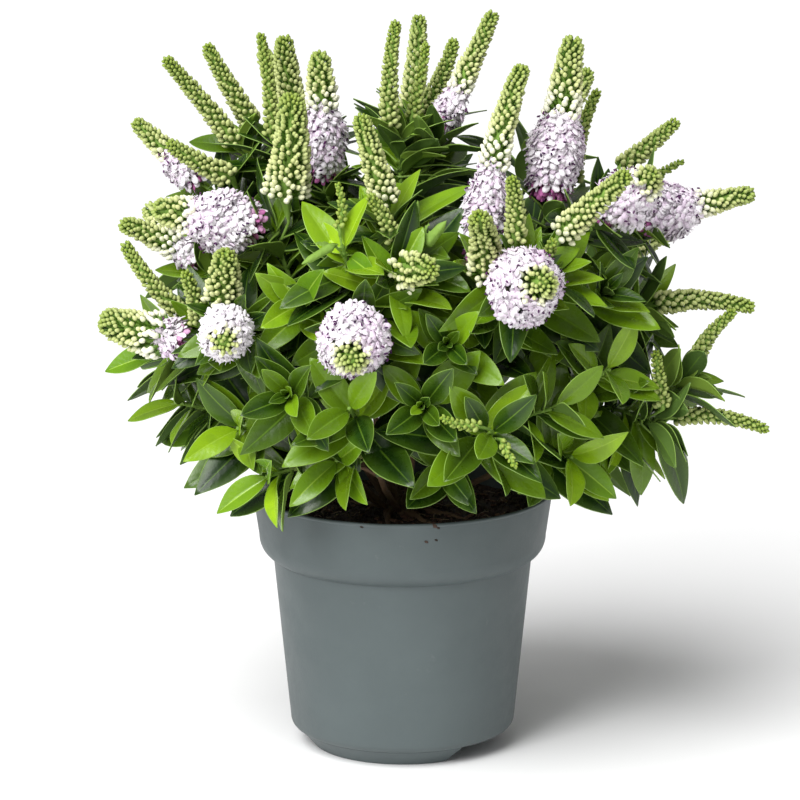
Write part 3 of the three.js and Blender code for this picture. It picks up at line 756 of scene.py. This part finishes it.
def stem_mesh(name, points, faces, dropped):
    """The CAD branch without its leaves and spikelets, closed again, remeshed and smoothed."""
    work = bmesh.new()
    corners = [work.verts.new(p) for p in points]
    for row in faces.tolist():
        if not dropped.intersection(row):
            try:
                work.faces.new([corners[i] for i in row])
            except ValueError:
                continue
    bmesh.ops.delete(work, geom=[v for v in work.verts if not v.link_faces], context="VERTS")
    bmesh.ops.holes_fill(work, edges=[e for e in work.edges if e.is_boundary], sides=0)
    bmesh.ops.recalc_face_normals(work, faces=work.faces)
    mesh = bpy.data.meshes.new(name)
    work.to_mesh(mesh)
    work.free()
    rough = add_object(name + "_rough", mesh)
    remesh = rough.modifiers.new("remesh", "REMESH")
    remesh.mode = "VOXEL"
    remesh.voxel_size = VOXEL
    soften = rough.modifiers.new("soften", "SMOOTH")
    soften.factor = 0.5
    soften.iterations = 6
    made = bpy.data.meshes.new_from_object(rough.evaluated_get(bpy.context.evaluated_depsgraph_get()))
    bpy.data.objects.remove(rough)
    made.name = name
    made.shade_smooth()
    places = np.empty(len(made.vertices) * 3)
    made.vertices.foreach_get("co", places)
    away = np.linalg.norm(places.reshape(-1, 3) - HEART, axis=1)
    age = 1 - np.clip((away - OLD_WOOD) / GREENING, 0, 1)
    add_mark(made, "wood", np.stack([age, age * 0, age * 0], axis=1))
    return made


# ---------------------------------------------------------------- the plant

FULL_LEAF = 39 * MM
HALF_NODE = 5.5 * MM  # half the way between two joints of a stem
NEAR_JOINT = 4 * MM  # along the stem, beyond which a pair is at another joint
NEXT_JOINTS = 16 * MM  # within which it is at one of the next
TWINS = 1.5 * MM  # the most between the feet of a pair's two leaves
SPARSE = 0.15  # share of the stems' joints that get no more leaves
NO_SHOOT = 0.6  # share of the stems' ends that get no shoot tip
FLATTEST = 1.5  # the most that a leaf leans from its stem, in radians
NARROW = 0.36  # width of a shoot tip's leaves as a share of their length
SHOOT_TIP = ((2.0, 0.52, 0.5), (4.2, 0.32, 0.3), (5.4, 0.18, 0.15))  # each pair's step, size and lean
SPIKE_ROOM = 1.5 * MM
POT_ROOM = 26 * MM  # out from the rim, and
POT_CLEAR = 14 * MM  # up from it, of the space that added leaves stay out of

# For a branch, the place, direction and length of each leaf that hangs from it, in millimetres.
HANGING = {
    "branch_right_low": (
        ((115, -33, 162), (0.45, 0.05, -0.89), 40),
        ((106, -27, 163), (0.25, 0.1, -0.96), 37),
        ((101, -2, 146), (0.35, -0.1, -0.93), 30),
    ),
}
HANGING_WIDTH = 0.34
BRACTS = ((0, 0.75, 25 * MM), (1.57, 0.95, 31 * MM), (0.3, 1.15, 34 * MM))  # each pair's turn, lean, length
BRACT_STEP = 3 * MM
BRACT_WIDTH = 0.34
OPENING = ("bloom_left_near",)  # a spike whose first flowers are just open
LEAST_SPIKELET = 1.6 * MM  # radius of the buds of a spike that belongs to a branch
SPIKELET_SWELL = 1.5  # and how many times its stalk's radius that is, at least


def in_the_way(leaf, own=None):
    """Whether a leaf would run into a spike that isn't its own, the soil or the pot's wall."""
    for share in (0.35, 0.7, 1.0):
        place = leaf["base"] + leaf["out"] * leaf["length"] * share
        place = place - leaf["up"] * leaf["length"] * LEAF_SAG * share ** 2
        radius = math.hypot(place[0], place[1])
        if radius < RIM_RADIUS + POT_ROOM and place[2] < RIM_HEIGHT + POT_CLEAR:
            return True
        for node, (foot, tip, reach) in spike_room.items():
            if node == own:
                continue
            along = tip - foot
            near_share = np.clip((place - foot) @ along / (along @ along), 0, 1)
            if np.linalg.norm(place - foot - near_share * along) < reach + SPIKE_ROOM:
                return True
    return False


def pairs_of(leaves):
    """One leaf of each pair, or a leaf that stands alone, each with the stem's direction there."""
    pairs = []
    left = list(leaves)
    while left:
        one = left.pop(0)
        twins = [other for other in left if np.linalg.norm(other["base"] - one["base"]) < TWINS
                 and other["out"] @ one["out"] < 0.9]
        if twins:
            two = min(twins, key=lambda other: other["out"] @ one["out"])
            left = [other for other in left if other is not two]
            along = unit(one["out"] + two["out"])
        else:
            along = unit(one["out"] + 1.6 * one["up"])
        pairs.append((one, along))
    return pairs


def sprout(base, along, off, lean, length, width):
    """A leaf from the stem at `base`, which leans away from the stem by that angle."""
    out = along * math.cos(lean) + off * math.sin(lean)
    up = along * math.sin(lean) - off * math.cos(lean)
    return {"base": base, "out": out, "up": up, "side": np.cross(out, up), "length": length, "width": width}


def sprout_pair(base, along, off, leaf, lean, grow):
    """Two leaves, one to each side, whose lean and size, as a share of `leaf`, are [least, range]."""
    made = []
    for turn in (1, -1):
        size = grow[0] + grow[1] * chance.random()
        angle = min(lean[0] + lean[1] * chance.random(), FLATTEST)
        made.append(sprout(base, along, off * turn, angle, leaf["length"] * size, leaf["width"] * size))
    return made


def between(leaves):
    """More pairs, halfway between those of the stand-in and turned across them, and the shoots' tips. Each
    leaf is given with its size as a share of a full one, which says how young it is."""
    pairs = pairs_of(leaves)
    more = []
    for leaf, along in pairs:
        if chance.random() < SPARSE:
            continue
        off = unit(leaf["out"] - along * (leaf["out"] @ along))
        across = np.cross(along, off)
        lean = math.acos(np.clip(leaf["out"] @ along, -0.2, 0.98))
        base = leaf["base"]
        foot = base - along * HALF_NODE
        for made in sprout_pair(foot, along, across, leaf, (lean + 0.1, 0.2), (0.86, 0.2)):
            more.append((made, made["length"] / FULL_LEAF))
        steps = [(other["base"] - base) @ along for other, _ in pairs
                 if np.linalg.norm(other["base"] - base) < NEXT_JOINTS]
        if min(steps) >= -NEAR_JOINT:
            foot = base - along * 2 * HALF_NODE
            more += [(made, 1) for made in sprout_pair(foot, along, off, leaf, (1.15, 0.3), (0.85, 0.15))]
        if max(steps) > NEAR_JOINT or chance.random() < NO_SHOOT:
            continue
        for step, size, lean in SHOOT_TIP:
            off, across = across, -off
            for turn in (1, -1):
                made = sprout(base + along * step * MM, along, off * turn, lean,
                              size * FULL_LEAF, size * NARROW * FULL_LEAF)
                more.append((made, 0.66))
    return [(leaf, size) for leaf, size in more if not in_the_way(leaf)]


def hanging(node, leaves):
    """Leaves that droop from a branch, each from the stem's joint nearest to a place."""
    more = []
    for place, out, length in HANGING.get(node, ()):
        base = min(leaves, key=lambda leaf: np.linalg.norm(leaf["base"] / MM - place))["base"]
        out = unit(np.array(out))
        side = unit(np.cross(out, [0.5, -0.8, 0.3]))
        more.append(({"base": base, "out": out, "up": np.cross(side, out), "side": side,
                      "length": length * MM, "width": HANGING_WIDTH * length * MM}, 1))
    return more


def youth_of(leaf, size):
    """From 0 for an old leaf to 1 for a young one: small leaves are young, most of all in some regions."""
    region = noise.noise(Vector(leaf["base"] * 22) + Vector((3.7, 1.9, 8.1)))
    return float(np.clip((1 - size) / 0.34, 0, 1) ** 1.3 * (0.22 + 0.78 * smooth_step(-0.12, 0.32, region)))


def plant_branch(node):
    points, faces, near = welded(node)
    leaves, buds, stems = Heap(), Heap(), Heap()
    dropped = set()
    found = []
    for corner in range(len(points)):
        leaf = leaf_at(corner, points, near)
        if leaf:
            found.append(leaf)
            dropped |= leaf["corners"]
            ring = rings_from(corner, near, 2)[1]
            if len(ring) == 3:
                dropped |= set(ring)
    sized = [(leaf, leaf["length"] / FULL_LEAF) for leaf in found]
    for leaf, size in sized + between(found) + hanging(node, found):
        add_leaf(leaves, leaf, youth_of(leaf, size), chance.random(8))
    for corner in range(len(points)):
        if len(near[corner]) != 6 or corner in dropped:
            continue
        middles, radii, rings = spike_at(corner, points, near)
        if len(middles) < 5 or radii[-3] < max(LEAST_SPIKELET, SPIKELET_SWELL * radii[-4]):
            continue
        add_spike(buds, None, stems, middles[-5:], radii[-5:])
        dropped |= {corner, *rings[0], *rings[1]}
    name = node.replace("branch_", "")
    show("leaves_" + name, leaves, "leaf", node)
    show("stems_" + name, stem_mesh("stems_" + name, points, faces, dropped), "stem", node)
    if buds.count:
        show("buds_" + name, buds, "bud", node)
        show("stalks_" + name, stems, "stem", node)


def spike_of(node):
    """The rings of a CAD spike: four of its stalk, those of its buds and flowers, and its tip."""
    points, _, near = welded(node)
    sides, rings = (7, 9) if node.startswith("bloom") else (6, 7)
    ends = [i for i in range(len(points))
            if len(near[i]) == sides and len(rings_from(i, near, 3)[1]) == sides]
    tip = max(ends, key=lambda i: np.linalg.norm(points[i] - HEART))
    middles, radii, _ = spike_at(tip, points, near)
    return middles[-rings:], radii[-rings:]


def add_bracts(leaves, node, middles):
    """Pairs of leaves round the foot of a spike, where they have room."""
    along = unit(middles[-1] - middles[1])
    for step, (spin, lean, length) in enumerate(BRACTS):
        side = basis(along, spin + chance.random())[0]
        for turn in (1, -1):
            grow = length * (0.85 + 0.3 * chance.random())
            leaf = sprout(middles[0] - along * step * BRACT_STEP, along, side * turn,
                          lean + 0.2 * chance.random(), grow, grow * BRACT_WIDTH)
            luck = chance.random(8)
            if not in_the_way(leaf, node):
                add_leaf(leaves, leaf, 0.25 * luck[6], luck)


def plant_spike(node, middles, radii):
    buds, flowers, stems, leaves = Heap(), Heap(), Heap(), Heap()
    add_bracts(leaves, node, middles)
    if leaves.count:
        show("bracts_" + node, leaves, "leaf", node)
    add_spike(buds, flowers, stems, middles, radii, opening=node in OPENING)
    show("buds_" + node, buds, "bud", node)
    show("stalk_" + node, stems, "stem", node)
    if flowers.count:
        show("flowers_" + node, flowers, "flower", node)


nodes = sorted(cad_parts)
spikes = {node: spike_of(node) for node in nodes if node.startswith(("spike_", "bloom_"))}
spike_room = {node: (middles[STALK_RINGS - 1], middles[-1], radii[STALK_RINGS:].max())
              for node, (middles, radii) in spikes.items()}
for node in nodes:
    if node.startswith("branch_"):
        plant_branch(node)
for node, (middles, radii) in spikes.items():
    plant_spike(node, middles, radii)

# ---------------------------------------------------------------- pot and soil

POT_SIDES = 180
POT_CREASE = 38  # degrees, beyond which an edge of the pot stays sharp
COLLAR_RISE = 2.3 * MM  # how much higher than in the CAD pot the collar ends
BEAD = 0.95 * MM  # radius of the rounded lip
BEAD_PROUD = 0.3 * MM
FOOT_NOTCHES = (-24, 156)  # degrees from +X, of the middles of the gaps in the foot ring
NOTCH_SPAN = 64
FOOT_TAPER = 7  # degrees over which the ring rises at each end
FOOT_STEPS = 90
FOOT_HEIGHT = 6.9 * MM
FOOT_WIDTH = 3.4 * MM
FOOT_INSET = 3.9 * MM  # from the body's lowest edge in to the top of the foot ring
FOOT_DRAFT = 6.4 * MM  # and from there in to its bottom
HEEL_INSET = 9.4 * MM  # from the body's lowest edge in to where the rounded heel ends
SHOULDER_CORNER = 0.3  # of the shoulder's height, where the lines of the body and the collar meet
PAD_RADIUS = 16 * MM  # of the part of the floor that is pressed down to the ground
PAD_SLOPE = 2.5 * MM
WALL_RADIUS, WALL_FOOT = 50 * MM, 11 * MM  # the CAD wall's corners lie outside the one and above the other


def bend(start, corner, end, steps):
    """Points on a bend between two places round a corner."""
    shares = np.linspace(0, 1, steps)[:, None]
    start, corner, end = (np.array(p) for p in (start, corner, end))
    return list((1 - shares) ** 2 * start + 2 * shares * (1 - shares) * corner + shares ** 2 * end)


def wall_of_pot():
    """From the CAD pot: its wall's thickness, and the outer [radius, height] of the body's lowest edge, the
    body's top, the collar's foot and the rim."""
    points, _, _ = welded("nursery_pot")
    radius = np.hypot(points[:, 0], points[:, 1])
    outer, inner = {}, {}
    for r, z in zip(radius, np.round(points[:, 2], 5)):
        if r > WALL_RADIUS and z > WALL_FOOT:
            outer[z] = max(outer.get(z, 0), r)
            inner[z] = min(inner.get(z, 1), r)
    levels = [np.array([r, z]) for z, r in sorted(outer.items())]
    both = [level for level in levels if level[0] - inner[level[1]] > 1 * MM]
    rim = both[-1]
    return rim[0] - inner[rim[1]], levels[0], both[0], both[-2], rim


def pot_profile():
    thick, body_foot, body_top, collar_foot, rim = wall_of_pot()
    body_top, collar_foot = body_top + [0, COLLAR_RISE], collar_foot + [0, COLLAR_RISE]
    shoulder = body_top + [collar_foot[0] - body_top[0], SHOULDER_CORNER * (collar_foot[1] - body_top[1])]

    def side(inset):
        inward = np.array([inset, 0])
        heel = [body_foot[0] - HEEL_INSET - 0.4 * inset, FOOT_HEIGHT + inset]
        heel_corner = [body_foot[0] - 1 * MM - inset, FOOT_HEIGHT + inset]
        return [
            *bend(heel, heel_corner, body_foot - inward + [0, 0.6 * inset], 7),
            *bend(body_top - inward, shoulder - inward, collar_foot - inward, 11),
        ]

    middle = rim - [BEAD - BEAD_PROUD, BEAD]
    swing = np.linspace(-math.pi / 3, math.pi, 13)
    edge = [rim - [0.15 * MM, 2.4 * BEAD], *(middle + BEAD * way(a) for a in swing)]
    floor = [(0, 0), (PAD_RADIUS, 0), (PAD_RADIUS + PAD_SLOPE, FOOT_HEIGHT)]
    inside = [(0, thick), (PAD_RADIUS - thick, thick), (PAD_RADIUS + PAD_SLOPE - thick, FOOT_HEIGHT + thick)]
    return [*floor, *side(0), *edge, *side(thick)[::-1], *inside[::-1]]


def foot_arc(start, end):
    """One stretch of the foot ring, between two of its gaps, in degrees. Its ends rise into the heel."""
    body_foot = wall_of_pot()[1]
    outer = body_foot[0] - FOOT_INSET
    inner = body_foot[0] - HEEL_INSET - FOOT_WIDTH
    top = FOOT_HEIGHT + 0.7 * MM
    rings = []
    for angle in np.linspace(start, end, FOOT_STEPS):
        rise = 1 - smooth_step(0, FOOT_TAPER, min(angle - start, end - angle))
        low = rise * (FOOT_HEIGHT - 0.3 * MM)
        slope = FOOT_DRAFT * (1 - low / FOOT_HEIGHT)
        section = [(inner, top), (outer - slope - FOOT_WIDTH, low), (outer - slope, low),
                   (outer, FOOT_HEIGHT + 0.5 * MM), (outer, FOOT_HEIGHT + 1.3 * MM)]
        rings.append([[*(r * way(math.radians(angle))), z] for r, z in section])
    rings = np.array(rings)
    ends = np.array([rings[0].mean(axis=0), rings[-1].mean(axis=0)])
    return np.concatenate([rings.reshape(-1, 3), ends]), capped(*rings.shape[:2])


def make_pot():
    heap = Heap()
    heap.add(*turned(pot_profile(), POT_SIDES))
    for middle in FOOT_NOTCHES:
        heap.add(*foot_arc(middle + NOTCH_SPAN / 2, middle + 180 - NOTCH_SPAN / 2))
    mesh = heap.mesh("pot")
    mesh.set_sharp_from_angle(angle=math.radians(POT_CREASE))
    show("pot", mesh, "pot", "nursery_pot")


SOIL_LEVEL = SOIL_TOP - 1.4 * MM
SOIL_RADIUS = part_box("potting_soil")[1].x - 0.1 * MM
SOIL_ROWS, SOIL_SIDES = 70, 200
SOIL_DEPTH = 14 * MM  # that the visible soil reaches down into the pot
CRUMBS, CHIPS, FIBRES = 1500, 170, 80
FIBRE_STEPS = 7
# Specks of soil on the outside of the collar: degrees from +X, and millimetres below the rim and across.
SPECKS = ((-105.5, 1.6, 0.8), (-78.0, 1.0, 1.1), (-76.5, 2.2, 0.6), (-81.0, 8.6, 0.7), (-77.2, 8.0, 0.6),
          (-104, 1.0, 0.5), (-96, 0.7, 0.4), (-60, 1.2, 0.5))
COLLAR_LEAN = 0.125  # how far the collar goes in for each millimetre down


def soil_height(x, y):
    """The soil's surface above its lowest level, in metres, at a place in metres."""
    lumps = noise.fractal((x * 45, y * 45, 3.1), 1.0, 2.0, 5)
    grit = noise.fractal((x * 330, y * 330, 7.7), 0.8, 2.0, 3)
    radius = math.hypot(x, y)
    return 1.6 * MM * lumps + 0.5 * MM * grit + 2.5 * MM * math.exp(-(radius / (22 * MM)) ** 2)


def on_soil(place, over):
    """A level place, raised to that height over the soil's surface."""
    return np.array([*place, SOIL_LEVEL + soil_height(*place) + over])


def anywhere(margin):
    """A random level place in the pot, at least that far from the edge of the soil."""
    return (SOIL_RADIUS - margin) * math.sqrt(chance.random()) * way(chance.random() * ROUND)


def lump(size, stretch, turn):
    """A small rough lump: a ball with its points moved in and out."""
    points, faces = BALL
    jitter = 1 + 0.3 * (chance.random(len(points)) - 0.5)
    return (points * jitter[:, None] * size * stretch) @ turn, faces


def soil_body():
    """The soil's surface, as rings from its middle to the pot's wall, closed under it."""
    rings = []
    for share in np.linspace(0.02, 1, SOIL_ROWS):
        for turn in np.arange(SOIL_SIDES) * ROUND / SOIL_SIDES:
            place = SOIL_RADIUS * share * way(turn)
            rings.append([*place, SOIL_LEVEL + soil_height(*place) * (1 if share < 0.999 else 0.4)])
    points = np.array(rings)
    foot = points[-SOIL_SIDES:] * [0.985, 0.985, 0] + [0, 0, SOIL_LEVEL - SOIL_DEPTH]
    ends = np.array([[0, 0, points[0, 2]], [0, 0, SOIL_LEVEL - SOIL_DEPTH]])
    return np.concatenate([points, foot, ends]), flipped(capped(SOIL_ROWS + 1, SOIL_SIDES))


def make_soil():
    """The soil with its crumbs, and the specks of it that stick to the collar."""
    heap = Heap()
    heap.add(*soil_body())
    for _ in range(CRUMBS):
        place = anywhere(2 * MM)
        size = MM * (0.35 + 1.1 * chance.random() ** 3)
        made, faces = lump(size, 0.6 + 0.7 * chance.random(3), basis(unit(chance.normal(size=3))))
        heap.add(made + on_soil(place, 0.3 * size), faces)
    for angle, drop, size in SPECKS:
        outward = way(math.radians(angle), 0)
        made, faces = lump(size * MM, np.array([1.4, 0.9, 0.5]), basis(outward))
        away = RIM_RADIUS - drop * MM * COLLAR_LEAN + 0.1 * MM
        heap.add(made + away * outward + [0, 0, RIM_HEIGHT - drop * MM], faces)
    show("soil_surface", heap, "peat", "potting_soil")


def make_chips():
    heap = Heap()
    for _ in range(CHIPS):
        place = anywhere(4 * MM)
        size = MM * (1.0 + 1.6 * chance.random())
        tilt = basis(unit([chance.normal() * 0.35, chance.normal() * 0.35, 1]), chance.random() * 6)
        made, faces = lump(size, np.array([1.6, 0.6, 0.28]) * (0.7 + 0.6 * chance.random(3)), tilt)
        heap.add(made + on_soil(place, 0.4 * MM), faces)
    show("bark_chips", heap, "chip", "potting_soil")


def make_fibres():
    heap = Heap()
    for _ in range(FIBRES):
        place = anywhere(6 * MM)
        heading = chance.random() * ROUND
        path = []
        for step in range(FIBRE_STEPS):
            heading += (chance.random() - 0.5) * 0.9
            place = place + 1.1 * MM * way(heading)
            if math.hypot(*place) < SOIL_RADIUS - 1.5 * MM:
                path.append(on_soil(place, (0.4 + 0.5 * math.sin(step)) * MM))
        if len(path) > 3:
            heap.add(*tube(path, np.linspace(0.28, 0.1, len(path)) * MM, 5))
    show("root_fibres", heap, "fibre", "potting_soil")


CROWN_ROWS, CROWN_SIDES = 26, 64
CROWN_SINK = 2 * MM  # that its dome starts below the soil
CROWN_DEPTH = 6 * MM
ROOTS = (-1.35, -0.5, -2.3, 0.6, 1.7, 2.9)  # the way that each root leaves the crown
ROOT_STEPS = 14
ROOT_STEP = 2.2 * MM


def crown_body():
    """The gnarled foot of the stems, a rough dome with ridges."""
    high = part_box("woody_crown")[1]
    rings = []
    for row in np.linspace(0.06, 1, CROWN_ROWS):
        climb = (1 - row) * math.pi / 2
        for turn in np.arange(CROWN_SIDES) * ROUND / CROWN_SIDES:
            rough = 0.9 + 0.16 * noise.fractal((*(3 * way(turn)), row * 2.5), 1.0, 2.0, 4)
            rough -= 0.07 * abs(math.sin(turn * 4 + row * 2))
            rise = (high.z - SOIL_LEVEL + 1 * MM) * rough * math.sin(climb)
            radius = high.x * rough * math.cos(climb) * 1.02
            rings.append([*(radius * way(turn)), SOIL_LEVEL - CROWN_SINK + rise])
    ends = [[0, 0, rings[0][2]], [0, 0, SOIL_LEVEL - CROWN_DEPTH]]
    return np.array(rings + ends), flipped(capped(CROWN_ROWS, CROWN_SIDES))


def make_crown():
    """The crown, and a few roots that leave it along the soil."""
    heap = Heap()
    heap.add(*crown_body(), wood=(1, 0, 0))
    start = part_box("woody_crown")[1].x * 0.6
    for heading in ROOTS:
        place = start * way(heading)
        path = []
        for step in range(ROOT_STEPS):
            heading += (chance.random() - 0.5) * 0.5
            place = place + ROOT_STEP * way(heading)
            path.append(on_soil(place, (1.6 - 0.17 * step) * MM))
        heap.add(*tube(path, np.linspace(2.0, 0.5, len(path)) * MM, 8), wood=(1, 0, 0))
    show("root_crown", heap, "stem", "woody_crown")


make_pot()
make_soil()
make_chips()
make_fibres()
make_crown()

# ---------------------------------------------------------------- floor, light and camera

FLOOR_SIZE = 14
WORLD_STRENGTH = 0.31
CAMERA_TARGET = Vector((-0.0012, 0, 0.164))
CAMERA_RISE = 13.4  # degrees
CAMERA_AWAY = 2.5


def set_stage():
    floor = Shader("white_floor", Specular_IOR_Level=0.2)
    floor.paint(floor.mix(floor.noise(2), *FLOOR_WHITE), 0.8)
    bpy.ops.mesh.primitive_plane_add(size=FLOOR_SIZE)
    plane = bpy.context.object
    plane.name = "floor"
    plane.data.materials.append(floor.material)
    world = bpy.data.worlds.new("studio")
    bpy.context.scene.world = world
    world.use_nodes = True
    back = world.node_tree.nodes["Background"]
    back.inputs["Color"].default_value = (1, 1, 1, 1)
    back.inputs["Strength"].default_value = WORLD_STRENGTH


def sun_light(name, azimuth, elevation, strength, spread):
    """A far soft light, `azimuth` degrees round from the front towards the right."""
    data = bpy.data.lights.new(name, "SUN")
    data.energy = strength
    data.angle = math.radians(spread)
    turn, rise = math.radians(azimuth), math.radians(elevation)
    toward = Vector((math.sin(turn) * math.cos(rise), -math.cos(turn) * math.cos(rise), math.sin(rise)))
    add_object(name, data).rotation_euler = toward.to_track_quat("Z", "Y").to_euler()


def aim(made, place, target):
    made.location = place
    made.rotation_euler = (target - made.location).to_track_quat("-Z", "Y").to_euler()


def area_light(name, place, target, size, power):
    data = bpy.data.lights.new(name, "AREA")
    data.shape = "RECTANGLE"
    data.size, data.size_y = size
    data.energy = power
    aim(add_object(name, data), place, Vector(target))


def set_camera():
    rise = math.radians(CAMERA_RISE)
    data = bpy.data.cameras.new("camera")
    data.lens = 242
    data.sensor_width = 36
    made = add_object("camera", data)
    aim(made, CAMERA_TARGET + Vector((0, -math.cos(rise), math.sin(rise))) * CAMERA_AWAY, CAMERA_TARGET)
    bpy.context.scene.camera = made


bpy.context.scene.view_settings.view_transform = "Standard"
set_stage()
sun_light("key", azimuth=-32, elevation=55, strength=3.4, spread=44)
area_light("window", (-0.8, -1.4, 1.0), (0, 0, 0.2), (0.7, 1.0), 20)
set_camera()
